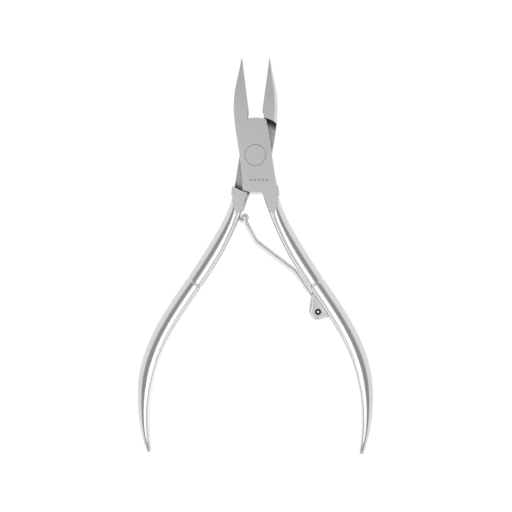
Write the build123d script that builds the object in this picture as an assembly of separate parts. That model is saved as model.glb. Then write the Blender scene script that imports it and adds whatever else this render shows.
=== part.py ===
from build123d import *
import os
from math import acos, asin, atan2, cos, degrees, radians, sin, sqrt, tan

os.makedirs("parts", exist_ok=True)

# A cuticle nipper that lies flat on its back, jaws open as the spring holds them.
# +Y points to the jaw tips, +Z up through the thickness, +X to the right.
# The origin is on the pivot axis, in the back face.

# The whole tool
jaw_reach = 29.4             # pivot axis to jaw tips, along Y
handle_reach = 90.8          # pivot axis to handle ends, along Y
handle_spread = 34.2         # centre plane to a handle's middle line, at its widest
head_thickness = 8.0         # front face to back face
end_spread = 32.4            # centre plane to the handle's end

# Lap joint
lap_radius = 11.25           # round ends of the two lap plates
shoulder_gap = 0.3           # lap end to the shoulder it turns beside
lap_gap = 0.04               # between the two sliding lap faces
jaw_belly = 6.56             # widest half width of the head
lap_right_top = 3.25         # upper right corner of the front lap plate
lap_left_foot = 3.9          # lower left corner of the front lap plate
lap_foot_place = 0.05        # where the plate's right edge meets the handle, share of its length
foot_inset = 0.03            # the plate's edge stays inside the handle's round by this much
crotch_radius = 0.9          # inside corner between lap plate and handle

# Jaws
edge_angle = 7.4             # each cutting edge from the centre plane, jaws open
edge_setback = 0.32          # cutting edge line to the pivot axis
heel_height = 13.45          # lower end of the cutting edge
heel_notch = 0.42            # step behind the heel, across
belly_height = 16.4          # where the jaws are widest
tip_width = 0.25
tip_thickness = 1.2
tip_front_drop = 1.0         # front face falls this much from heel to tip
edge_land = 0.35             # flat behind the cutting edge
relief_angle = 12.0          # hollow behind the cutting edge
back_slope = 0.42            # how steeply the back face runs out at the tip
side_bevel_width = 0.85      # bevel on the jaw's outer edge, recess side
side_bevel_depth = 1.1

# Handles, half-round with the flat side inwards
neck_width = 4.4
handle_width = 5.25
grip_width = 5.3
grip_low_width = 4.75
tail_width = 3.5
tip_end_width = 1.3
handle_half = 3.72           # half thickness above the groove
grip_half = 4.0              # half thickness of the grip, which rests on the table
tail_half = 2.7
tip_end_half = 1.1
land_width = 1.2             # narrow flat along the crest
inner_corner = 0.6
groove_place = 0.378         # share of the handle's length from its root
groove_width = 0.8
groove_depth = 0.35

# Rivet
rivet_shaft = 4.0
rivet_head = 6.3
rivet_clearance = 0.03

# Lug, pin and spring
lug_place = 0.460            # share of the handle's length from its root
lug_nose_radius = 2.4
lug_thickness = 7.0
lug_rise = 0.065             # lug's upper foot before the pin, share of the handle
lug_fall = 0.036             # lug's lower foot after the pin, share of the handle
pin_diameter = 1.9
pin_recess = 0.15
pin_chamfer = 0.45
eye_clearance = 0.05
leaf_thickness = 0.6
leaf_width = 4.4
leaf_side_play = 0.15
leaf_lean = (0.62, 0.80)     # how far the free end's front edge leans past its back edge
leaf_wall_gap = 0.32         # eye to the handle's inner wall
rest_place = 0.305           # where the leaf rests on the handle, share of its length
rest_gap = 0.15
curl_place = 0.118           # where the curl rests on the other handle
curl_radius = 1.1            # outside
curl_gap = 0.06
curl_entry = -20.0           # where the strip joins its curl, seen from the curl's centre
curl_turn = 265.0
curl_stem = 0.9              # short straight below the curl
kink_radius = 0.8
leg_angle = -61.5            # upper leg's direction, from the curl to the knee
leg_length = 6.8
knee_radius = 2.4
rest_radius = 4.0            # bend where the leaf meets the handle
eye_turn = 300.0

middle = head_thickness / 2

# The middle line of the right handle: shares of the spread and of the reach
spine_shape = [(0.1085, 0.088), (0.149, 0.146), (0.284, 0.266), (0.548, 0.427),
               (0.763, 0.548), (0.956, 0.709), (1.0, 0.832)]


# A tool blank is drawn as the front lever: jaw on the left, handle on the right.
# The rear lever is the same blank turned over about the tool's long axis.

def on_circle(radius, x, side):
    return (x, side * sqrt(radius ** 2 - x ** 2))


def edge_x(y):
    """The left cutting edge's place across the tool at height y."""
    return -edge_setback - tan(radians(edge_angle)) * y


def spine():
    points = [(x * handle_spread, -y * handle_reach) for x, y in spine_shape]
    return Spline(*points, (end_spread, -handle_reach))


middle_line = spine()


def across(place):
    """Outward direction, square to the handle's middle line."""
    along = middle_line % place
    return Vector(-along.Y, along.X, 0)


def width_at(place):
    """Handle width between the stations, for what sits on its inner wall."""
    stations = upper_stations() + grip_stations()
    for (s0, w0, *_), (s1, w1, *_) in zip(stations, stations[1:]):
        if s0 <= place <= s1:
            return w0 + (w1 - w0) * (place - s0) / (s1 - s0)
    return stations[-1][1]


def inner_wall(place, off=0.0):
    """Point off the inner wall of the right handle, towards the other handle."""
    return middle_line @ place - across(place) * (width_at(place) / 2 + off)


def section(place, width, land, half):
    """Half-round section: flat inner wall, small corners, narrow land, round outside."""
    frame = Plane(origin=middle_line @ place, x_dir=across(place), z_dir=-(middle_line % place))
    inner = -width / 2
    corner = min(inner_corner, width / 4)
    crest = inner + corner
    shoulder = crest + land
    outer = width / 2
    low = half - corner
    with BuildSketch(frame) as sketch:
        with BuildLine():
            Line((inner, -low), (inner, low))
            EllipticalCenterArc((crest, low), corner, corner, 90, arc_size=90)
            Line((crest, half), (shoulder, half))
            EllipticalCenterArc((shoulder, 0), outer - shoulder, half, 0, arc_size=90)
            EllipticalCenterArc((shoulder, 0), outer - shoulder, half, 270, arc_size=90)
            Line((crest, -half), (shoulder, -half))
            EllipticalCenterArc((crest, -low), corner, corner, 180, arc_size=90)
        make_face()
    return sketch.sketch.face()


def upper_stations():
    """Place, width, land and half thickness, from the head to the groove."""
    boss = middle + 0.2
    full = neck_width - inner_corner - 0.5
    return [(0.0, neck_width, full, boss),
            (0.072, neck_width, full, boss),
            (0.118, neck_width, land_width + 0.3, boss - 0.1),
            (0.165, neck_width + 0.4 * (handle_width - neck_width), land_width, handle_half + 0.08),
            (0.27, handle_width, land_width, handle_half),
            (groove_place, handle_width, land_width, handle_half)]


def grip_stations():
    """The same, from the groove to the handle's end."""
    return [(groove_place, grip_width, land_width, grip_half - 0.06),
            (0.45, grip_width, land_width, grip_half),
            (0.60, grip_low_width + 0.3, 0.7 * land_width, grip_half - 0.15),
            (0.72, grip_low_width, 0.4 * land_width, grip_half - 0.45),
            (0.84, tail_width, 0.3 * land_width, tail_half + 0.3),
            (0.95, tail_width * 0.6, 0.2 * land_width, tail_half * 0.72),
            (1.0, tip_end_width, 0.15 * land_width, tip_end_half)]


def slab(reach=150.0):
    """The space between the tool's ground front and back faces."""
    return Pos(0, 0, middle) * Box(2 * reach, 2 * reach, head_thickness)


def handle():
    """Forged handle with a ring groove, ground flat where the head meets it."""
    length = middle_line.length
    half_groove = groove_width / 2 / length
    upper, grip = [loft([section(*row) for row in stations])
                   for stations in (upper_stations(), grip_stations())]
    cut = [section(groove_place + side * half_groove, handle_width + 4, 2.0, grip_half + 2)
           for side in (-1, 1)]
    core = [section(groove_place + side * half_groove, handle_width - 2 * groove_depth,
                    land_width, handle_half - groove_depth) for side in (-1, 1)]
    ring = loft(cut, ruled=True) - loft(core, ruled=True)
    lift = Pos(0, 0, middle)
    return (slab() & lift * upper) + lift * grip - lift * ring


def head_outline():
    """Jaw and lap plate of the front lever, seen from the front."""
    tip = (edge_x(jaw_reach), jaw_reach)
    tip_side = (edge_x(jaw_reach) - tip_width, jaw_reach - tip_width)
    foot = on_circle(lap_radius, -lap_left_foot, -1)
    outer = Spline(tip_side, (-0.81 * jaw_belly, belly_height + 0.6 * (jaw_reach - belly_height)),
                   (-0.95 * jaw_belly, belly_height + 0.24 * (jaw_reach - belly_height)),
                   (-jaw_belly, belly_height), (-0.9 * jaw_belly, 0.41 * belly_height), foot)
    heel = (edge_x(heel_height), heel_height)
    notch = (heel[0] - heel_notch, heel_height - 0.6)
    notch_foot = on_circle(lap_radius, notch[0], 1)
    right_top = on_circle(lap_radius, lap_right_top, 1)
    wall = inner_wall(lap_foot_place)
    into = middle_line @ lap_foot_place
    right_foot = into + across(lap_foot_place) * (neck_width / 2 - foot_inset)
    round_start = on_circle(lap_radius, wall.X - crotch_radius, -1)
    with BuildSketch() as sketch:
        with BuildLine():
            add(outer)
            Line(tip_side, tip)
            Line(tip, heel)
            Line(heel, notch)
            Line(notch, notch_foot)
            ThreePointArc(notch_foot, (0, lap_radius), right_top)
            Line(right_top, (right_foot.X, right_foot.Y))
            Line((right_foot.X, right_foot.Y), (into.X, into.Y))
            Line((into.X, into.Y), (wall.X, wall.Y))
            TangentArc((wall.X, wall.Y), round_start, tangent=-(middle_line % lap_foot_place))
            ThreePointArc(round_start, (0, -lap_radius), foot)
        make_face()
    return sketch.sketch.face()


def recess():
    """Room for the other lever's lap plate."""
    height = middle + lap_gap / 2
    return extrude(Circle(lap_radius + shoulder_gap), height + 1).moved(Pos(0, 0, -1))


def jaw_block(outline):
    """Full-thickness jaw above the lap, with the bevel of its recess side."""
    block = extrude(outline, head_thickness) & Pos(0, 50, middle) * Box(100, 100, 100)
    back_face = block.faces().sort_by(Axis.Z)[0]
    side_edge = back_face.edges().filter_by(GeomType.BSPLINE)
    return chamfer(side_edge, length=side_bevel_width, length2=side_bevel_depth, reference=back_face)


def blank():
    """A whole lever as the front one, before its jaw is ground and its holes are bored."""
    outline = head_outline()
    lap_face = middle + lap_gap / 2
    plate = extrude(outline.moved(Pos(0, 0, lap_face)), head_thickness - lap_face)
    back = (jaw_block(outline) + handle()) - recess()
    return plate + back


def turned_over(shape):
    """The same shape turned over about the tool's long axis."""
    return Pos(0, 0, middle) * (Rot(0, 180, 0) * (Pos(0, 0, -middle) * shape))


def jaw_grinding():
    """What is ground off both jaws together, front and back, seen from the side."""
    start = lap_radius + 0.8
    front_tip = head_thickness - tip_front_drop
    back_tip = front_tip - tip_thickness
    beyond = 2.0
    with BuildSketch(Plane.YZ) as front:
        with BuildLine():
            bow = TangentArc((heel_height, head_thickness), (jaw_reach, front_tip), tangent=(1, 0))
            run = PolarLine(bow @ 1, beyond, direction=bow % 1)
            Polyline(run @ 1, (jaw_reach + beyond, head_thickness + 1),
                     (heel_height, head_thickness + 1), (heel_height, head_thickness))
        make_face()
    with BuildSketch(Plane.YZ) as back:
        with BuildLine():
            sweep_up = Spline((start, 0), (jaw_reach, back_tip), tangents=[(1, 0), (1, back_slope)])
            run = PolarLine(sweep_up @ 1, beyond, direction=sweep_up % 1)
            Polyline(run @ 1, (jaw_reach + beyond, -1), (start, -1), (start, 0))
        make_face()
    return extrude(front.sketch, 20, both=True) + extrude(back.sketch, 20, both=True)


def jaw_relief():
    """Hollow behind the left cutting edge: a wedge that leaves a narrow land."""
    heel = Vector(edge_x(heel_height), heel_height, head_thickness - edge_land)
    tip = Vector(edge_x(jaw_reach), jaw_reach, head_thickness - tip_front_drop - edge_land)
    along = (tip - heel).normalized()
    frame = Plane(origin=heel, x_dir=(1, 0, 0), z_dir=along)
    deep = head_thickness + 2
    side = 1 if frame.y_dir.Z > 0 else -1
    with BuildSketch(frame) as wedge:
        Polygon((0, 0), (3, 0), (3, -side * deep), (-deep * tan(radians(relief_angle)), -side * deep),
                align=None)
    return extrude(wedge.sketch, (tip - heel).length + 4)


def rivet_form(shaft, head, top):
    """Shaft with a flush countersunk head at each face."""
    depth = (head - shaft) / 2
    with BuildSketch(Plane.XZ) as half:
        Polygon((0, 0), (head / 2, 0), (shaft / 2, depth), (shaft / 2, top - depth),
                (head / 2, top), (0, top), align=None)
    return revolve(half.sketch, Axis.Z)


def rivet():
    return rivet_form(rivet_shaft, rivet_head, head_thickness)


def running_bore():
    """Bore in the lever that turns on the rivet."""
    play = 2 * rivet_clearance
    return rivet_form(rivet_shaft + play, rivet_head + play, head_thickness)


def pin_centre():
    """The spring pin stands off the handle's inner wall by the eye's radius and its gap."""
    eye = pin_diameter / 2 + eye_clearance + leaf_thickness
    return inner_wall(lug_place, eye + leaf_wall_gap)


def touch_point(centre, radius, point, side):
    """Where a line from the point touches the circle."""
    away = point - centre
    angle = degrees(atan2(away.Y, away.X)) + side * degrees(acos(radius / away.length))
    return centre + heading(angle) * radius


def lug_cheeks():
    """Two rounded cheeks on the right handle, with the slot for the spring between them."""
    centre = pin_centre()
    upper = inner_wall(lug_place - lug_rise, -0.2)
    upper_in = inner_wall(lug_place - lug_rise / 2, -1.2)
    lower = inner_wall(lug_place + lug_fall, -0.2)
    lower_in = inner_wall(lug_place + lug_fall / 2, -1.2)
    nose = Pos(centre.X, centre.Y) * Circle(lug_nose_radius)
    left = touch_point(centre, lug_nose_radius, upper, 1)
    low = touch_point(centre, lug_nose_radius, lower, -1)
    web = make_face(Polyline((upper.X, upper.Y), (left.X, left.Y), (centre.X, centre.Y),
                             (low.X, low.Y), (lower.X, lower.Y), (lower_in.X, lower_in.Y),
                             (upper_in.X, upper_in.Y), close=True))
    shape = nose + web
    slot = leaf_width + 2 * leaf_side_play
    cheek = (lug_thickness - slot) / 2
    base = middle - lug_thickness / 2
    return (extrude(shape.moved(Pos(0, 0, base)), cheek)
            + extrude(shape.moved(Pos(0, 0, base + lug_thickness - cheek)), cheek))


def pin_bore():
    centre = pin_centre()
    return Pos(centre.X, centre.Y, middle) * Cylinder(pin_diameter / 2, head_thickness + 2)


def spring_pin():
    centre = pin_centre()
    length = lug_thickness - 2 * pin_recess
    pin = Pos(centre.X, centre.Y, middle) * Cylinder(pin_diameter / 2, length)
    return chamfer(pin.edges().filter_by(GeomType.CIRCLE), pin_chamfer)


def front_lever(raw):
    lever = raw + lug_cheeks()
    return lever - jaw_grinding() - jaw_relief() - rivet() - pin_bore()


def rear_lever(raw):
    lever = turned_over(raw)
    relief = mirror(jaw_relief(), Plane.YZ)
    return lever - jaw_grinding() - relief - running_bore()


def heading(angle):
    """Unit vector in the plane of the tool, at an angle from +X."""
    return Vector(cos(radians(angle)), sin(radians(angle)), 0)


def leaf_line(lean):
    """Middle line of the strip, from its curl to its eye, where it has leant by this much."""
    half = leaf_thickness / 2
    wall = inner_wall(curl_place)
    out = across(curl_place)
    away = Vector(out.X, -out.Y, 0)
    curl = Vector(-wall.X, wall.Y, 0) + away * (curl_radius + curl_gap) + lean
    joined = curl + heading(curl_entry) * (curl_radius - half)
    kink = joined - heading(curl_entry + 90) * curl_stem
    knee = kink + heading(leg_angle) * leg_length
    rest = inner_wall(rest_place, half + rest_gap) + lean - Vector(*leaf_lean)
    eye = pin_centre()
    mid_eye = pin_diameter / 2 + eye_clearance + half
    pull = eye - rest
    touch_angle = degrees(atan2(pull.Y, pull.X)) + 90 - degrees(asin(mid_eye / pull.length))
    touch = eye + heading(touch_angle) * mid_eye
    with BuildLine() as line:
        CenterArc(curl, curl_radius - half, curl_entry, curl_turn)
        FilletPolyline(joined, kink, knee, rest, touch, radius=[kink_radius, knee_radius, rest_radius])
    with BuildLine() as loop:
        CenterArc(eye, mid_eye, touch_angle, -eye_turn)
    return line.line, loop.line


def strip(line, height):
    """Face as thick as the strip, along a middle line."""
    outline = offset(Wire(line.edges()), leaf_thickness / 2, kind=Kind.ARC)
    return Pos(0, 0, middle + height) * make_face(outline).face()


def spring_leaf():
    """Strip square on its pin, which leans over more and more towards its free end."""
    back_line, loop = leaf_line(Vector(0, 0, 0))
    front_line, _ = leaf_line(Vector(*leaf_lean))
    half = leaf_width / 2
    blade = loft([strip(back_line, -half), strip(front_line, half)], ruled=True)
    return blade + extrude(strip(loop, -half), leaf_width)


def main():
    raw = blank()
    nodes = {"front_lever": front_lever(raw),
             "rear_lever": rear_lever(raw),
             "pivot_rivet": rivet(),
             "spring_leaf": spring_leaf(),
             "spring_pin": spring_pin()}
    for name, shape in nodes.items():
        export_step(shape, f"parts/{name}.step")


if __name__ == "__main__":
    main()
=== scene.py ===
import bmesh
import bpy
import numpy as np
from math import acos, asin, atan2, cos, degrees, pi, radians, sin, sqrt, tan
from mathutils import Matrix, Vector


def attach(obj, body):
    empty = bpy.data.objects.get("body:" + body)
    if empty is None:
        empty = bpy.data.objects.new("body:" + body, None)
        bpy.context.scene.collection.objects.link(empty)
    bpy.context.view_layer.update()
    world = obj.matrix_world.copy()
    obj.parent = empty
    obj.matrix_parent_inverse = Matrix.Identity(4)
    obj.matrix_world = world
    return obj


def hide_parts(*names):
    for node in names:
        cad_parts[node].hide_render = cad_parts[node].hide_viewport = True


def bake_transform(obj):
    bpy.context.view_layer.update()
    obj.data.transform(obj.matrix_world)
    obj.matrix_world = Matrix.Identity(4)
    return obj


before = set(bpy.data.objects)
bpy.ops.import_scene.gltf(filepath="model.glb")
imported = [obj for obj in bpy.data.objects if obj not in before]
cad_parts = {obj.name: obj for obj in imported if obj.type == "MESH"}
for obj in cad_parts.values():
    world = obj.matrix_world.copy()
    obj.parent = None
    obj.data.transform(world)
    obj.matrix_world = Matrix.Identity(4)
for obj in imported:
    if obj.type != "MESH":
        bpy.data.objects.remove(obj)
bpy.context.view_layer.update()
scene = bpy.context.scene
mm = 0.001


# Camera

cameraLook = {
    "lens": 57.7,
    "aim": (0.2, -30.43, 5.0),      # mm, the point in the middle of the view
    "height": 250.0,                # mm above the aim
    "toRight": 7.6,                 # mm, the camera stands a little to the right
    "roll": 0.19,                   # degrees
}


def addCamera(look):
    data = bpy.data.cameras.new("camera")
    data.lens = look["lens"]
    data.clip_start = 0.01
    data.dof.use_dof = False
    camera = bpy.data.objects.new("camera", data)
    scene.collection.objects.link(camera)
    aim = Vector(look["aim"]) * mm
    back = Vector((look["toRight"], 0, look["height"])) * mm
    right = Vector((0, 1, 0)).cross(back).normalized()
    up = back.cross(right).normalized()
    turn = Matrix((right, up, back.normalized())).transposed().to_4x4()
    roll = Matrix.Rotation(radians(look["roll"]), 4, "Z")
    camera.matrix_world = Matrix.Translation(aim + back) @ turn @ roll
    scene.camera = camera


# Studio: two long softboxes overhead with a dimmer panel between them, a pale floor and a dim room
# that brightens towards the horizon

studio = {
    "height": 1.5,                  # m, the panels above the floor
    "gapAngle": 8.5,                # degrees from straight up, where each softbox starts
    "boxAngle": 29.0,               # and where it ends
    "length": 2.0,
    "boxGlow": 1.9,                 # brightness seen in a mirror
    "middleGlow": 0.62,
    "farShare": 0.62,               # the panels' far part, which the jaws mirror, is dimmer
    "farStart": 0.2,                # m
    "roomGlow": 0.44,
    "horizonGlow": 1.2,
    "horizonHeights": (0.28, 0.42),  # share of straight up where the bright rim ends
    "floorSize": 8.0,
    "floorGap": 0.00005,            # m below the tool
    "floorColour": (0.10, 0.10, 0.10),
    "floorGlow": 0.96,              # a lit table top, so no shadow shows
}


def addPanel(name, x0, x1, y0, y1, glow, look):
    data = bpy.data.lights.new(name, "AREA")
    data.shape = "RECTANGLE"
    data.size = x1 - x0
    data.size_y = y1 - y0
    data.energy = glow * pi * data.size * data.size_y
    panel = bpy.data.objects.new(name, data)
    scene.collection.objects.link(panel)
    panel.location = ((x0 + x1) / 2, (y0 + y1) / 2, look["height"])


def addRoom(look):
    world = bpy.data.worlds.new("room")
    world.use_nodes = True
    tree = world.node_tree
    background = tree.nodes["Background"]
    background.inputs["Color"].default_value = (1, 1, 1, 1)
    place = tree.nodes.new("ShaderNodeTexCoord")
    split = tree.nodes.new("ShaderNodeSeparateXYZ")
    fade = tree.nodes.new("ShaderNodeMapRange")
    fade.inputs["From Min"].default_value = look["horizonHeights"][0]
    fade.inputs["From Max"].default_value = look["horizonHeights"][1]
    fade.inputs["To Min"].default_value = look["horizonGlow"]
    fade.inputs["To Max"].default_value = look["roomGlow"]
    tree.links.new(place.outputs["Generated"], split.inputs["Vector"])
    tree.links.new(split.outputs["Z"], fade.inputs["Value"])
    tree.links.new(fade.outputs["Result"], background.inputs["Strength"])
    scene.world = world


def addStudio(look):
    near = look["height"] * tan(radians(look["gapAngle"]))
    far = look["height"] * tan(radians(look["boxAngle"]))
    end = look["length"] / 2
    split = look["farStart"]
    columns = (
        ("softboxLeft", -far, -near, look["boxGlow"]),
        ("middlePanel", -near, near, look["middleGlow"]),
        ("softboxRight", near, far, look["boxGlow"]),
    )
    for name, x0, x1, glow in columns:
        addPanel(name, x0, x1, -end, split, glow, look)
        addPanel(name + "Far", x0, x1, split, end, glow * look["farShare"], look)
    addRoom(look)
    scene.view_settings.view_transform = "Standard"


def addFloor(look):
    mesh = bpy.data.meshes.new("floor")
    bm = bmesh.new()
    bmesh.ops.create_grid(bm, x_segments=1, y_segments=1, size=look["floorSize"] / 2)
    bmesh.ops.translate(bm, verts=bm.verts, vec=(0, 0, -look["floorGap"]))
    bm.to_mesh(mesh)
    bm.free()
    material, _, shader = newMaterial("paleFloor", look["floorColour"], 0.0, 0.9)
    shader.inputs["Specular IOR Level"].default_value = 0.0
    shader.inputs["Emission Color"].default_value = (1, 1, 1, 1)
    shader.inputs["Emission Strength"].default_value = look["floorGlow"]
    mesh.materials.append(material)
    floor = bpy.data.objects.new("floor", mesh)
    scene.collection.objects.link(floor)
    floor.visible_glossy = False    # the steel mirrors the room's horizon instead


# Materials

def newMaterial(name, colour, metallic, roughness):
    material = bpy.data.materials.new(name)
    material.use_nodes = True
    tree = material.node_tree
    shader = tree.nodes["Principled BSDF"]
    shader.inputs["Base Color"].default_value = (*colour, 1)
    shader.inputs["Metallic"].default_value = metallic
    shader.inputs["Roughness"].default_value = roughness
    return material, tree, shader


def grain(tree, scale, detail=3.0, rough=0.6):
    # streaks or mottling, with a scale per metre for each axis
    place = tree.nodes.new("ShaderNodeTexCoord")
    stretch = tree.nodes.new("ShaderNodeMapping")
    stretch.inputs["Scale"].default_value = scale
    noise = tree.nodes.new("ShaderNodeTexNoise")
    noise.inputs["Scale"].default_value = 1.0
    noise.inputs["Detail"].default_value = detail
    noise.inputs["Roughness"].default_value = rough
    tree.links.new(place.outputs["Object"], stretch.inputs["Vector"])
    tree.links.new(stretch.outputs["Vector"], noise.inputs["Vector"])
    return noise.outputs["Fac"]


def spread(tree, source, low, high, start=0.3, end=0.7):
    node = tree.nodes.new("ShaderNodeMapRange")
    node.inputs["From Min"].default_value = start
    node.inputs["From Max"].default_value = end
    node.inputs["To Min"].default_value = low
    node.inputs["To Max"].default_value = high
    tree.links.new(source, node.inputs["Value"])
    return node.outputs["Result"]


def tint(tree, source, dark, light):
    ramp = tree.nodes.new("ShaderNodeValToRGB")
    ramp.color_ramp.elements[0].position = 0.3
    ramp.color_ramp.elements[0].color = (*dark, 1)
    ramp.color_ramp.elements[1].position = 0.7
    ramp.color_ramp.elements[1].color = (*light, 1)
    tree.links.new(source, ramp.inputs["Fac"])
    return ramp.outputs["Color"]


def relief(tree, shader, source, depth):
    bump = tree.nodes.new("ShaderNodeBump")
    bump.inputs["Strength"].default_value = 1.0
    bump.inputs["Distance"].default_value = depth
    tree.links.new(source, bump.inputs["Height"])
    tree.links.new(bump.outputs["Normal"], shader.inputs["Normal"])


def groundSteel():
    material, tree, shader = newMaterial("groundSteel", (0.42, 0.412, 0.408), 1.0, 0.26)
    lines = grain(tree, (260, 3600, 260))
    mottle = grain(tree, (900, 5200, 900), 2.0)
    colour = tint(tree, mottle, (0.418, 0.410, 0.405), (0.434, 0.426, 0.421))
    tree.links.new(colour, shader.inputs["Base Color"])
    tree.links.new(spread(tree, lines, 0.24, 0.29), shader.inputs["Roughness"])
    relief(tree, shader, lines, 0.000001)
    return material


def polishedSteel():
    material, tree, shader = newMaterial("polishedSteel", (0.58, 0.57, 0.565), 1.0, 0.12)
    faint = grain(tree, (160, 160, 160), 2.0)
    tree.links.new(spread(tree, faint, 0.15, 0.20), shader.inputs["Roughness"])
    tree.links.new(tint(tree, faint, (0.57, 0.56, 0.555), (0.60, 0.59, 0.585)), shader.inputs["Base Color"])
    return material


def milledSteelAndShade():
    # darker towards the shoulder: painted shade in the recess's corner, and near black further out, painted
    # shade on the root's inner wall
    material, tree, shader = newMaterial("milledSteelAndShade", (0.3, 0.3, 0.3), 1.0, 0.3)
    lines = grain(tree, (500, 4200, 500), 3.0)
    place = tree.nodes.new("ShaderNodeTexCoord")
    flatten = tree.nodes.new("ShaderNodeVectorMath")
    flatten.operation = "MULTIPLY"
    flatten.inputs[1].default_value = (1, 1, 0)
    reach = tree.nodes.new("ShaderNodeVectorMath")
    reach.operation = "LENGTH"
    tree.links.new(place.outputs["Object"], flatten.inputs[0])
    tree.links.new(flatten.outputs["Vector"], reach.inputs[0])
    unshaded = spread(tree, reach.outputs["Value"], 1.0, 0.1, 0.0094, 0.0110)
    blend = tree.nodes.new("ShaderNodeMix")
    blend.data_type = "RGBA"
    tree.links.new(unshaded, blend.inputs["Factor"])
    # near black: painted shade
    blend.inputs["A"].default_value = (0.02, 0.022, 0.022, 1)
    tree.links.new(tint(tree, lines, (0.21, 0.212, 0.212), (0.35, 0.35, 0.35)), blend.inputs["B"])
    tree.links.new(blend.outputs["Result"], shader.inputs["Base Color"])
    tree.links.new(spread(tree, lines, 0.24, 0.36), shader.inputs["Roughness"])
    relief(tree, shader, lines, 0.000004)
    return material


def paintedShadeSteel():
    # near-black colour: painted shade in walls, bores and wells that lie in shadow, and painted dark
    # reflection along the spring's edges
    material, tree, shader = newMaterial("paintedShadeSteel", (0.05, 0.05, 0.05), 1.0, 0.4)
    shadeMottle = grain(tree, (2500, 2500, 2500), 2.0)
    tree.links.new(tint(tree, shadeMottle, (0.03, 0.03, 0.03), (0.07, 0.068, 0.066)), shader.inputs["Base Color"])
    return material


def springSteel():
    material, tree, shader = newMaterial("springSteel", (0.55, 0.545, 0.54), 1.0, 0.18)
    drawn = grain(tree, (600, 600, 3500), 2.0)
    tree.links.new(spread(tree, drawn, 0.13, 0.22), shader.inputs["Roughness"])
    tree.links.new(tint(tree, drawn, (0.50, 0.495, 0.49), (0.58, 0.575, 0.57)), shader.inputs["Base Color"])
    return material


# Mesh helpers

def makePiece(bm, name, body, stands, materials):
    mesh = bpy.data.meshes.new(name)
    bm.to_mesh(mesh)
    bm.free()
    piece = bpy.data.objects.new(name, mesh)
    scene.collection.objects.link(piece)
    for material in materials:
        mesh.materials.append(material)
    if body:
        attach(piece, body)
    if stands:
        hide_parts(*stands)
    return piece


def smoothByAngle(bm, limit, flatLimit, headEnd=1.0):
    # edges of ground flats and of the head are crisp from a smaller angle than those of the round parts
    for face in bm.faces:
        face.smooth = True
    for edge in bm.edges:
        if len(edge.link_faces) != 2:
            edge.smooth = False
            continue
        flat = any(abs(face.normal.z) > 0.9995 for face in edge.link_faces)
        crisp = flat or edge.verts[0].co.y > headEnd
        edge.smooth = edge.calc_face_angle() < radians(flatLimit if crisp else limit)


def faceOutward(bm):
    # each shell is turned by the sign of its volume
    bmesh.ops.recalc_face_normals(bm, faces=bm.faces)
    left = set(bm.faces)
    while left:
        shell = set()
        rim = {left.pop()}
        while rim:
            shell |= rim
            rim = {near for face in rim for side in face.edges for near in side.link_faces} - shell
        left -= shell
        volume = sum(face.calc_center_median().dot(face.normal) * face.calc_area() for face in shell)
        if volume < 0:
            bmesh.ops.reverse_faces(bm, faces=list(shell))


def addLoop(bm, points):
    verts = [bm.verts.new(point) for point in points]
    return [bm.edges.new((verts[i], verts[(i + 1) % len(verts)])) for i in range(len(verts))]


def smoothCurve(points):
    # cubic curve through the points, which gives a place and a heading for a share of its length
    pts = np.array(points, float)
    step = np.linalg.norm(np.diff(pts, axis=0), axis=1)
    at = np.concatenate([[0], np.cumsum(step)])
    count = len(pts)
    left = np.eye(count)
    right = np.zeros((count, 2))
    for i in range(1, count - 1):
        left[i, i - 1:i + 2] = 1 / step[i - 1], 2 / step[i - 1] + 2 / step[i], 1 / step[i]
        right[i] = 3 * ((pts[i] - pts[i - 1]) / step[i - 1] ** 2 + (pts[i + 1] - pts[i]) / step[i] ** 2)
    for c in range(2):
        right[0, c] = np.polyval(np.polyder(np.polyfit(at[:4], pts[:4, c], 3)), at[0])
        right[-1, c] = np.polyval(np.polyder(np.polyfit(at[-4:], pts[-4:, c], 3)), at[-1])
    slope = np.linalg.solve(left, right)
    rows = []
    for i in range(count - 1):
        u = np.linspace(0, 1, 400, endpoint=False)[:, None]
        rows.append((1 + 2 * u) * (1 - u) ** 2 * pts[i] + u * (1 - u) ** 2 * step[i] * slope[i]
                    + u * u * (3 - 2 * u) * pts[i + 1] + u * u * (u - 1) * step[i] * slope[i + 1])
    line = np.vstack(rows + [pts[-1:]])
    far = np.concatenate([[0], np.cumsum(np.linalg.norm(np.diff(line, axis=0), axis=1))])
    share = far / far[-1]

    def placeAt(s):
        return Vector((np.interp(s, share, line[:, 0]), np.interp(s, share, line[:, 1]), 0))

    def headingAt(s):
        return (placeAt(min(s + 0.002, 1)) - placeAt(max(s - 0.002, 0))).normalized()

    return placeAt, headingAt, far[-1]


def easedRow(table, s):
    # values between the table's rows, without overshoot; each row starts with its own s
    rows = np.array(table, float)
    at, values = rows[:, 0], rows[:, 1:]
    rise = np.diff(values, axis=0) / np.diff(at)[:, None]
    slope = np.zeros_like(values)
    slope[0], slope[-1] = rise[0], rise[-1]
    for i in range(1, len(at) - 1):
        same = rise[i - 1] * rise[i] > 0
        slope[i] = np.where(same, 2 * rise[i - 1] * rise[i] / np.where(same, rise[i - 1] + rise[i], 1), 0)
    i = int(np.clip(np.searchsorted(at, s, side="right") - 1, 0, len(at) - 2))
    h = at[i + 1] - at[i]
    u = (s - at[i]) / h
    return ((1 + 2 * u) * (1 - u) ** 2 * values[i] + u * (1 - u) ** 2 * h * slope[i]
            + u * u * (3 - 2 * u) * values[i + 1] + u * u * (u - 1) * h * slope[i + 1])


# Levers. Both come from one blank, drawn as the front lever: jaw on the left, handle on the right.
# The rear lever is that blank turned over about the tool's long axis. Sizes in millimetres.

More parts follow.
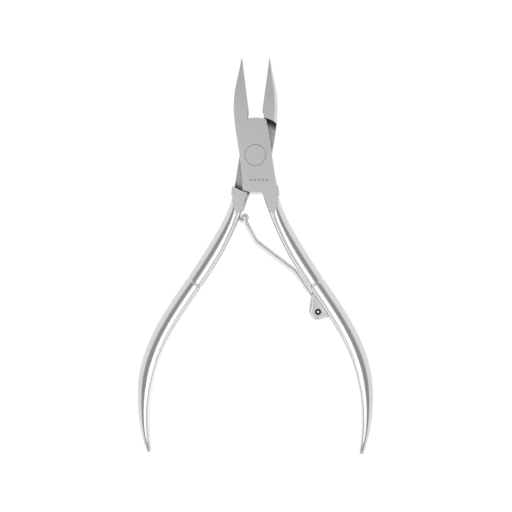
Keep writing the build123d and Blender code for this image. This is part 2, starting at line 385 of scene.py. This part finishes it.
lever = {
    "thickness": 8.0,
    "reach": 90.8,                  # pivot to handle end
    "spread": 34.2,
    "endSpread": 32.4,
    "spine": [(0.1085, 0.088), (0.149, 0.146), (0.284, 0.266), (0.548, 0.427),
              (0.763, 0.548), (0.956, 0.709), (1.0, 0.832)],
    "neck": 0.056,                  # where the head ends and the handle starts
    "innerCorner": 0.6,
    # place, width, land along the crest, half thickness
    "upper": [(0.0, 4.4, 3.3, 4.2), (0.064, 4.4, 3.25, 4.2), (0.084, 4.42, 2.3, 4.1),
              (0.106, 4.45, 1.1, 3.99), (0.15, 4.6, 0.7, 3.88), (0.27, 5.25, 0.6, 3.74),
              (0.378, 5.25, 0.6, 3.72)],
    "grip": [(0.378, 5.3, 0.6, 3.94), (0.45, 5.3, 0.6, 4.0), (0.60, 5.05, 0.42, 3.85),
             (0.72, 4.75, 0.24, 3.55), (0.84, 3.5, 0.18, 3.0), (0.95, 2.1, 0.12, 1.95),
             (1.0, 1.3, 0.09, 1.1)],
    "grooveWidth": 0.8,
    "grooveDepth": 0.35,
    "lapRadius": 11.25,
    "shoulderRadius": 11.55,        # wall of the recess that the other lap plate turns in
    "edgeAngle": 7.4,               # the cutting edge's line across the tool
    "edgeSetback": 0.32,
    "heelHeight": 13.45,
    "edgeBreak": 0.1,               # small bevel along the head's edges
    "sideBevel": 0.3,               # wider and shallow bevel down both sides of the lap plate
    "sideDrop": 0.07,
    "sideEnd": 11.2,                # the bevel runs to this far above and below the rivet
    "satinEnd": 0.066,              # share of the handle where the satin grinding ends
    "rootEnd": 0.1,                 # and where the inner wall's rough material with painted shade does
}


def flip(bm):
    turn = Matrix.Translation((0, 0, lever["thickness"] / 2 * mm)) @ Matrix.Rotation(pi, 4, "Y")
    turn = turn @ Matrix.Translation((0, 0, -lever["thickness"] / 2 * mm))
    bmesh.ops.transform(bm, matrix=turn, verts=bm.verts)


def leverSpine():
    points = [(x * lever["spread"], -y * lever["reach"]) for x, y in lever["spine"]]
    return smoothCurve(points + [(lever["endSpread"], -lever["reach"])])


spinePlace, spineHeading, spineLength = leverSpine()


def spineAcross(s):
    along = spineHeading(s)
    return Vector((-along.y, along.x, 0))


def ringPoints(s, width, land, half):
    # half-round: flat inner wall, small corners, narrow land, round outside, and ground flat
    # where it is thicker than the head
    inner = -width / 2
    corner = min(lever["innerCorner"], width / 4)
    crest = inner + corner
    shoulder = crest + land
    outer = width / 2 - shoulder
    low = half - corner
    top = min(half, lever["thickness"] / 2)
    turnIn = asin(min((top - low) / corner, 1))
    turnOut = acos(min(top / half, 1))
    flatStart = crest - corner * cos(turnIn)
    flatEnd = shoulder + outer * sin(turnOut)
    inSteps = [turnIn * t / 6 for t in range(6)]
    outSteps = [turnOut + (pi / 2 - turnOut) * t / 16 for t in range(16)]
    upper = [(inner, low * t / 4) for t in range(4)]
    upper += [(crest - corner * cos(t), low + corner * sin(t)) for t in inSteps]
    upper += [(flatStart + (flatEnd - flatStart) * t / 4, top) for t in range(4)]
    upper += [(shoulder + outer * sin(t), half * cos(t)) for t in outSteps]
    lower = [(u, -w) for u, w in upper[1:]][::-1]
    centre = spinePlace(s)
    out = spineAcross(s)
    outline = upper + [(width / 2, 0)] + lower
    return [(centre + out * u + Vector((0, 0, lever["thickness"] / 2 + w))) * mm for u, w in outline]


def handleRings():
    # from the neck down: upper part, ring groove, grip and rounded end
    groove = lever["upper"][-1][0]
    side = lever["grooveWidth"] / 2 / spineLength
    rings = []
    for s in np.linspace(lever["neck"] + 0.0008, groove - side, 64):
        rings.append((s, *easedRow(lever["upper"], s)))
    for t in np.linspace(-1, 1, 9):
        width, land, half = lever["upper"][-1][1:]
        depth = lever["grooveDepth"] * sqrt(max(1 - (t * 0.94) ** 2, 0))
        rings.append((groove + t * side, width - 2 * depth, land, half - depth))
    endLength = 0.9 / spineLength
    for s in np.linspace(groove + side, 1 - endLength, 80):
        rings.append((s, *easedRow(lever["grip"], s)))
    for t in np.linspace(0.12, 0.999, 9):
        width, land, half = easedRow(lever["grip"], 1 - endLength)
        part = sqrt(1 - t ** 2)
        rings.append((1 - endLength + t * endLength, width * part, land * part, half * part))
    return rings


def edgeLine(y):
    return -lever["edgeSetback"] - tan(radians(lever["edgeAngle"])) * y


def openRivetRim(bm):
    # the hairline ring round the rivet: its hole is a little wider in the face
    for vert in bm.verts:
        away = Vector((vert.co.x, vert.co.y, 0))
        onFace = min(vert.co.z, lever["thickness"] * mm - vert.co.z) < 0.001 * mm
        if onFace and abs(away.length - rivet["head"] * mm) < 0.05 * mm:
            vert.co += away.normalized() * rivet["holeGap"] * mm


def breakEdges(bm):
    # the lap plate's long sides get a wider bevel, every other hard edge of the head a small one
    sides, rest = [], []
    for edge in bm.edges:
        if len(edge.link_faces) != 2 or edge.calc_face_angle() < radians(50):
            continue
        a, b = (vert.co / mm for vert in edge.verts)
        middle = (a + b) / 2
        inHead = min(a.y, b.y) > spinePlace(lever["neck"]).y + 0.8
        cutting = middle.y > lever["heelHeight"] - 0.1 and abs(middle.x - edgeLine(middle.y)) < 0.2
        if not inHead or cutting or Vector((middle.x, middle.y)).length < rivet["head"] + 0.4:
            continue
        inFace = min(a.z, b.z) > lever["thickness"] - 0.01
        along = abs(b.y - a.y) > 0.8 * (b - a).length
        onSide = inFace and along and abs(middle.y) < lever["sideEnd"]
        if onSide:
            sides.append(edge)
        else:
            rest.append(edge)
    bmesh.ops.bevel(bm, geom=sides, offset=lever["sideBevel"] * mm, offset_type="OFFSET", segments=1,
                    profile=0.5, affect="EDGES", clamp_overlap=True, material=-1)
    for vert in bm.verts:
        below = lever["thickness"] - vert.co.z / mm
        if abs(below - lever["sideBevel"]) < 0.02 and abs(vert.co.y) < (lever["sideEnd"] - 0.3) * mm:
            vert.co.z = (lever["thickness"] - lever["sideDrop"]) * mm
    rest = [edge for edge in rest if edge.is_valid]
    bmesh.ops.bevel(bm, geom=rest, offset=lever["edgeBreak"] * mm, offset_type="OFFSET", segments=1,
                    profile=0.5, affect="EDGES", clamp_overlap=True, material=-1)


rivet = {
    "head": 3.15,                   # radius in the face
    "shaft": 2.0,
    "rimBreak": 0.05,               # the head's own edge
    "holeGap": 0.06,                # and how far the hole's edge stands off it
}

marks = {                           # five plain etched dots where a maker would stamp the tool
    "count": 5,
    "from": -1.4,
    "step": 1.22,
    "height": -7.5,
    "radius": 0.36,
    "floorShare": 0.75,             # of the radius
    "depth": 0.05,
}


def etchMarks(bm, look):
    # the front face is filled again round the wells
    top = lever["thickness"] * mm
    flats = [face for face in bm.faces
             if face.normal.z > 0.9999 and abs(face.calc_center_median().z - top) < 0.001 * mm]
    sides = dict.fromkeys(edge for face in flats for edge in face.edges)
    border = [edge for edge in sides
              if len(edge.link_faces) == 1 or not all(other in flats for other in edge.link_faces)]
    bmesh.ops.delete(bm, geom=flats, context="FACES_KEEP_BOUNDARY")
    outlines = [edge for edge in border if edge.is_valid]
    used = {edge for face in bm.faces for edge in face.edges} | set(outlines)
    bmesh.ops.delete(bm, geom=[edge for edge in bm.edges if edge not in used], context="EDGES")
    wells = []
    for i in range(look["count"]):
        place = Vector((look["from"] + i * look["step"], look["height"], lever["thickness"])) * mm
        loops = []
        for share, drop in ((1.0, 0.0), (look["floorShare"], look["depth"])):
            ring = bmesh.ops.create_circle(bm, cap_ends=False, radius=look["radius"] * share * mm,
                                           segments=20)["verts"]
            bmesh.ops.translate(bm, verts=ring, vec=place - Vector((0, 0, drop * mm)))
            loops.append(list(dict.fromkeys(edge for vert in ring for edge in vert.link_edges)))
        outlines += loops[0]
        wells += bmesh.ops.bridge_loops(bm, edges=loops[0] + loops[1])["faces"]
        wells += bmesh.ops.holes_fill(bm, edges=loops[1], sides=0)["faces"]
    bmesh.ops.triangle_fill(bm, use_beauty=True, use_dissolve=False, edges=outlines, normal=(0, 0, 1))
    return wells


def leverMesh(nodeName, turned):
    bm = bmesh.new()
    bm.from_mesh(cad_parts[nodeName].data)
    bmesh.ops.remove_doubles(bm, verts=bm.verts, dist=0.002 * mm)
    if turned:
        flip(bm)
    neck = lever["neck"]
    everything = bm.verts[:] + bm.edges[:] + bm.faces[:]
    bmesh.ops.bisect_plane(bm, geom=everything, dist=0.001 * mm, plane_co=spinePlace(neck) * mm,
                           plane_no=spineHeading(neck), clear_outer=True)
    bmesh.ops.dissolve_limit(bm, angle_limit=radians(0.4), verts=bm.verts, edges=bm.edges)
    openRivetRim(bm)
    breakEdges(bm)
    wells = [] if turned else etchMarks(bm, marks)
    loop = [edge for edge in bm.edges if edge.is_boundary]
    print("head", nodeName, len(bm.verts), "verts, neck edges", len(loop), "marks", len(wells))
    for row in handleRings():
        nextLoop = addLoop(bm, ringPoints(*row))
        bmesh.ops.bridge_loops(bm, edges=loop + nextLoop)
        loop = nextLoop
    bmesh.ops.holes_fill(bm, edges=loop, sides=0)
    if not turned:
        addLug(bm)
    if turned:
        flip(bm)
    faceOutward(bm)
    return bm


lug = {
    "place": 0.460,                 # share of the handle's length
    "handleWidth": 5.27,            # there
    "nose": 2.4,
    "thickness": 7.0,
    "slot": 4.7,                    # between the cheeks, for the spring's eye
    "rise": 0.065,
    "fall": 0.036,
    "rounding": 0.45,               # outer edges
    "root": 0.2,                    # how far the cheeks start inside the handle's wall
    "depth": 1.2,                   # and how far they run in
    "noseSteps": 20,
}

pin = {
    "radius": 0.95,
    "crown": 0.5,                   # radius of the domed end
    "dome": [(0, 0), (0.5, 0.03), (0.85, 0.1), (1.0, 0.2)],  # share of that radius, depth
    "recess": 0.15,                 # each end below the cheek
    "wellDepth": 1.0,
    "wellFloor": 0.12,              # the ring left round the well
}


def innerWall(s, width, off=0.0):
    return spinePlace(s) - spineAcross(s) * (width / 2 + off)


def pinCentre():
    eye = pin["radius"] + leaf["eyeGap"] + leaf["thickness"]
    return innerWall(lug["place"], lug["handleWidth"], eye + leaf["wallGap"])


def touchPoint(centre, radius, point, side):
    away = point - centre
    angle = atan2(away.y, away.x) + side * acos(radius / away.length)
    return centre + Vector((cos(angle), sin(angle), 0)) * radius


def addLug(bm):
    centre = pinCentre()
    width = lug["handleWidth"]
    upper = innerWall(lug["place"] - lug["rise"], width, -lug["root"])
    lower = innerWall(lug["place"] + lug["fall"], width, -lug["root"])
    inside = [innerWall(lug["place"] + lug["fall"] / 2, width, -lug["depth"]),
              innerWall(lug["place"] - lug["rise"] / 2, width, -lug["depth"])]
    left = touchPoint(centre, lug["nose"], upper, 1)
    low = touchPoint(centre, lug["nose"], lower, -1)
    start = atan2(left.y - centre.y, left.x - centre.x)
    turn = (atan2(low.y - centre.y, low.x - centre.x) - start) % (2 * pi)
    steps = lug["noseSteps"]
    cheek = (lug["thickness"] - lug["slot"]) / 2
    for side in (-1, 1):
        face = lever["thickness"] / 2 + side * lug["thickness"] / 2
        lift = Vector((0, 0, face))
        first = bm.verts.new((left + lift) * mm)
        bmesh.ops.spin(bm, geom=[first], cent=(centre + lift) * mm, axis=(0, 0, 1), angle=turn, steps=steps,
                       use_duplicate=False)
        outline = [first]
        while len(outline) <= steps:
            ends = [edge.other_vert(outline[-1]) for edge in outline[-1].link_edges]
            outline.append(next(vert for vert in ends if vert not in outline))
        corners = [bm.verts.new((point + lift) * mm) for point in [lower] + inside + [upper]]
        run = outline + corners
        edges = [edge for vert in outline[:-1] for edge in vert.link_edges]
        edges = list(dict.fromkeys(edges))
        edges += [bm.edges.new((run[i], run[(i + 1) % len(run)])) for i in range(steps, len(run))]
        hole = bmesh.ops.create_circle(bm, cap_ends=False, radius=pin["radius"] * mm, segments=40)["verts"]
        bmesh.ops.translate(bm, verts=hole, vec=(centre + lift) * mm)
        holeEdges = list(dict.fromkeys(edge for vert in hole for edge in vert.link_edges))
        filled = bmesh.ops.triangle_fill(bm, use_beauty=True, use_dissolve=False, edges=edges + holeEdges,
                                         normal=(0, 0, side))
        faces = [item for item in filled["geom"] if isinstance(item, bmesh.types.BMFace)]
        grown = bmesh.ops.extrude_face_region(bm, geom=faces, use_keep_orig=True)["geom"]
        inner = [item for item in grown if isinstance(item, bmesh.types.BMVert)]
        bmesh.ops.translate(bm, verts=inner, vec=(0, 0, -side * cheek * mm))
        rim = [edge for edge in edges if edge.is_valid]
        bmesh.ops.bevel(bm, geom=rim, offset=lug["rounding"] * mm, offset_type="OFFSET", segments=4,
                        profile=0.5, affect="EDGES", clamp_overlap=True, material=-1)


def paintLever(bm):
    # satin on the ground flats and head, bright on the handle and bevels, rough on the milled
    # lap floor, in the marks and on the handle's root, with painted shade towards the shoulder and on the
    # root's inner wall, and painted shade on the shoulder and notch walls, the rivet's bore and the lap
    # plate's upper end
    satin, bright, rough, dark = range(4)
    top = lever["thickness"] * mm
    headEnd = spinePlace(lever["satinEnd"]).y * mm
    rootEnd = spinePlace(lever["rootEnd"]).y * mm
    near = 0.12
    for face in bm.faces:
        centre = face.calc_center_median()
        facing = abs(face.normal.z)
        radius = Vector((centre.x, centre.y)).length / mm
        flat = facing > 0.9995
        wall = facing < 0.2
        inHead = centre.y > headEnd
        lapHeight = 0.3 * top < centre.z < 0.7 * top
        inShoulder = wall and abs(radius - lever["shoulderRadius"]) < near
        inBore = radius < 1.1 * rivet["head"] and not flat
        inNotch = wall and lever["lapRadius"] < centre.y / mm < lever["heelHeight"] and abs(centre.x) < 3 * mm
        lapEnd = not flat and abs(radius - lever["lapRadius"]) < near and centre.y > 0
        inRoot = rootEnd < centre.y < -lever["lapRadius"] * mm
        rootWall = wall and inRoot and face.normal.x * centre.x < 0
        sunk = 0.001 * mm < top - centre.z < 1.1 * marks["depth"] * mm
        onMark = sunk and abs(centre.y / mm - marks["height"]) < marks["radius"]
        # painted shade on the shoulder wall, the rivet's bore, the notch wall and the lap plate's upper end
        if inShoulder or inBore or inNotch or lapEnd:
            face.material_index = dark
        # the rough material is painted shade on the root's inner wall and towards the shoulder
        elif flat and lapHeight or rootWall or onMark:
            face.material_index = rough
        elif inHead and (facing > 0.85 or wall) or flat:
            face.material_index = satin
        else:
            face.material_index = bright


def spunPiece(profile, centre, steps):
    # a turned part: the profile runs from the axis at one end to the axis at the other
    bm = bmesh.new()
    verts = [bm.verts.new((centre + Vector((r, 0, z))) * mm) for r, z in profile]
    edges = [bm.edges.new(pair) for pair in zip(verts, verts[1:])]
    bmesh.ops.spin(bm, geom=verts + edges, cent=centre * mm, axis=(0, 0, 1), angle=2 * pi, steps=steps,
                   use_merge=True, use_duplicate=False)
    bmesh.ops.remove_doubles(bm, verts=bm.verts, dist=0.0005 * mm)
    faceOutward(bm)
    return bm


def rivetMesh():
    top, head, shaft, rim = lever["thickness"], rivet["head"], rivet["shaft"], rivet["rimBreak"]
    half = [(0, 0), (head - rim, 0), (head, rim), (shaft, head - shaft)]
    return spunPiece(half + [(r, top - z) for r, z in half[::-1]], Vector((0, 0, 0)), 96)


def pinMesh():
    low = (lever["thickness"] - lug["thickness"]) / 2 + pin["recess"]
    crown, radius, well = pin["crown"], pin["radius"], pin["wellDepth"]
    half = [(share * crown, low + depth) for share, depth in pin["dome"]]
    half += [(1.15 * crown, low + 0.5 * well), (radius - pin["wellFloor"], low + well), (radius, low + well)]
    top = lever["thickness"]
    return spunPiece(half + [(r, top - z) for r, z in half[::-1]], pinCentre(), 48)


leaf = {
    "thickness": 0.6,
    "width": 4.4,
    "corner": 0.13,
    "lean": (0.62, 0.80),           # how far the free end's front edge leans past its back edge
    "eyeGap": 0.05,
    "wallGap": 0.32,
    "eyeTurn": 300.0,
    "restPlace": 0.305,             # where it rests on its own handle
    "restWidth": 5.25,
    "restGap": 0.15,
    "restRadius": 4.0,
    "kneeRadius": 2.4,
    "legAngle": -61.5,
    "legLength": 6.8,
    "kinkRadius": 0.8,
    "curlPlace": 0.118,             # where it touches the other handle
    "curlWidth": 4.4,
    "curlRadius": 1.1,
    "curlGap": 0.06,
    "curlEntry": -20.0,
    "curlTurn": 265.0,
    "curlStem": 0.9,
    "curlSteps": 40,
    "fulcrum": (12.01, -35.1, 4.0),
}


def heading(angle):
    return Vector((cos(radians(angle)), sin(radians(angle)), 0))


def arcPoints(centre, radius, start, end, steps):
    return [centre + heading(start + (end - start) * t / steps) * radius for t in range(steps + 1)]


def filletLine(points, radii, steps):
    line = [points[0]]
    for i, radius in enumerate(radii, 1):
        before = (points[i - 1] - points[i]).normalized()
        after = (points[i + 1] - points[i]).normalized()
        half = before.angle(after) / 2
        centre = points[i] + (before + after).normalized() * radius / sin(half)
        arm = points[i] + before * radius / tan(half) - centre
        far = points[i] + after * radius / tan(half) - centre
        sweep = atan2(arm.cross(far).z, arm.dot(far))
        first = centre + arm
        line += [line[-1].lerp(first, t / steps) for t in range(1, steps)]
        line += [centre + Matrix.Rotation(sweep * t / steps, 3, "Z") @ arm for t in range(steps + 1)]
    return line + [line[-1].lerp(points[-1], t / steps) for t in range(1, steps + 1)]


def leafLine(lean):
    half = leaf["thickness"] / 2
    wall = innerWall(leaf["curlPlace"], leaf["curlWidth"])
    out = spineAcross(leaf["curlPlace"])
    away = Vector((out.x, -out.y, 0))
    curl = Vector((-wall.x, wall.y, 0)) + away * (leaf["curlRadius"] + leaf["curlGap"]) + lean
    bend = leaf["curlRadius"] - half
    joined = curl + heading(leaf["curlEntry"]) * bend
    kink = joined - heading(leaf["curlEntry"] + 90) * leaf["curlStem"]
    knee = kink + heading(leaf["legAngle"]) * leaf["legLength"]
    rest = innerWall(leaf["restPlace"], leaf["restWidth"], half + leaf["restGap"])
    rest = rest + lean - Vector((*leaf["lean"], 0))
    eye = pinCentre()
    eyeRadius = pin["radius"] + leaf["eyeGap"] + half
    pull = eye - rest
    touchAngle = degrees(atan2(pull.y, pull.x)) + 90 - degrees(asin(eyeRadius / pull.length))
    touch = eye + heading(touchAngle) * eyeRadius
    curlEnd = leaf["curlEntry"] + leaf["curlTurn"]
    line = arcPoints(curl, bend, curlEnd, leaf["curlEntry"], leaf["curlSteps"])[:-1]
    line += filletLine([joined, kink, knee, rest, touch],
                       [leaf["kinkRadius"], leaf["kneeRadius"], leaf["restRadius"]], 12)
    return line, arcPoints(eye, eyeRadius, touchAngle, touchAngle - leaf["eyeTurn"], 56)[1:]


def leafSection():
    # rounded rectangle: across the thickness, along the width
    thick, wide, corner = leaf["thickness"] / 2, leaf["width"] / 2, leaf["corner"]
    points = []
    for side, up, start in ((1, 1, 0), (-1, 1, 90), (-1, -1, 180), (1, -1, 270)):
        for t in range(5):
            point = heading(start + 90 * t / 4) * corner
            points.append((side * (thick - corner) + point.x, up * (wide - corner) + point.y))
    return points


def leafMesh():
    backLine, eyeLoop = leafLine(Vector((0, 0, 0)))
    frontLine, _ = leafLine(Vector((*leaf["lean"], 0)))
    back, front = backLine + eyeLoop, frontLine + eyeLoop
    section = leafSection()
    bm = bmesh.new()
    loop = None
    count = len(back)
    ends = [(0, -0.26, 0.45), (0, -0.17, 0.8)] + [(i, 0, 1) for i in range(count)]
    ends += [(count - 1, 0.17, 0.8), (count - 1, 0.26, 0.45)]
    for i, beyond, part in ends:
        sides = []
        for line in (back, front):
            along = (line[min(i + 1, count - 1)] - line[max(i - 1, 0)]).normalized()
            sides.append((line[i] + along * beyond, Vector((-along.y, along.x, 0))))
        ring = []
        for across, up in section:
            share = up / leaf["width"] + 0.5
            place = sides[0][0].lerp(sides[1][0], share)
            normal = sides[0][1].lerp(sides[1][1], share)
            ring.append((place + normal * across * part + Vector((0, 0, lever["thickness"] / 2 + up))) * mm)
        nextLoop = addLoop(bm, ring)
        if loop:
            bmesh.ops.bridge_loops(bm, edges=loop + nextLoop)
        else:
            bmesh.ops.holes_fill(bm, edges=nextLoop, sides=0)
        loop = nextLoop
    bmesh.ops.holes_fill(bm, edges=loop, sides=0)
    faceOutward(bm)
    print("leaf", len(bm.verts), "verts")
    return bm


addCamera(cameraLook)
addStudio(studio)
addFloor(studio)
print("studio ready")

ground, polished, milledAndShade = groundSteel(), polishedSteel(), milledSteelAndShade()
paintedShade, springMaterial = paintedShadeSteel(), springSteel()

for nodeName, body, turned in (("front_lever", "front_half", False), ("rear_lever", "rear_half", True)):
    leverBm = leverMesh(nodeName, turned)
    smoothByAngle(leverBm, 28, 12, spinePlace(lever["neck"]).y * mm)
    paintLever(leverBm)
    makePiece(leverBm, nodeName.replace("_l", "L"), body, [nodeName],
              [ground, polished, milledAndShade, paintedShade])
print("levers ready")

rivetBm = rivetMesh()
smoothByAngle(rivetBm, 28, 12)
# the rim and shaft inside the hairline ring take painted shade
for face in rivetBm.faces:
    face.material_index = 0 if abs(face.normal.z) > 0.99 else 1
makePiece(rivetBm, "pivotRivet", "front_half", ["pivot_rivet"], [ground, paintedShade])

pinBm = pinMesh()
smoothByAngle(pinBm, 50, 50)
# painted shade in the well round the domed end
for face in pinBm.faces:
    away = face.calc_center_median() - pinCentre() * mm
    inWell = abs(away.z - 4 * mm) > 2 * mm and Vector((away.x, away.y)).length > 1.02 * pin["crown"] * mm
    face.material_index = 1 if inWell else 0
makePiece(pinBm, "springPin", "front_half", ["spring_pin"], [springMaterial, paintedShade])

leafBm = leafMesh()
smoothByAngle(leafBm, 40, 12)
# painted dark reflection lines on the corners along both edges of the strip's width
for face in leafBm.faces:
    height = abs(face.calc_center_median().z / mm - lever["thickness"] / 2)
    face.material_index = 1 if leaf["width"] / 2 - leaf["corner"] < height < leaf["width"] / 2 - 0.001 else 0
leafPiece = makePiece(leafBm, "leafSpring", None, ["spring_leaf"], [springMaterial, paintedShade])
curlTop = leafLine(Vector((0, 0, 0)))[0][leaf["curlSteps"] + 1]
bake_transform(leafPiece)
print("rivet, pin and spring ready")
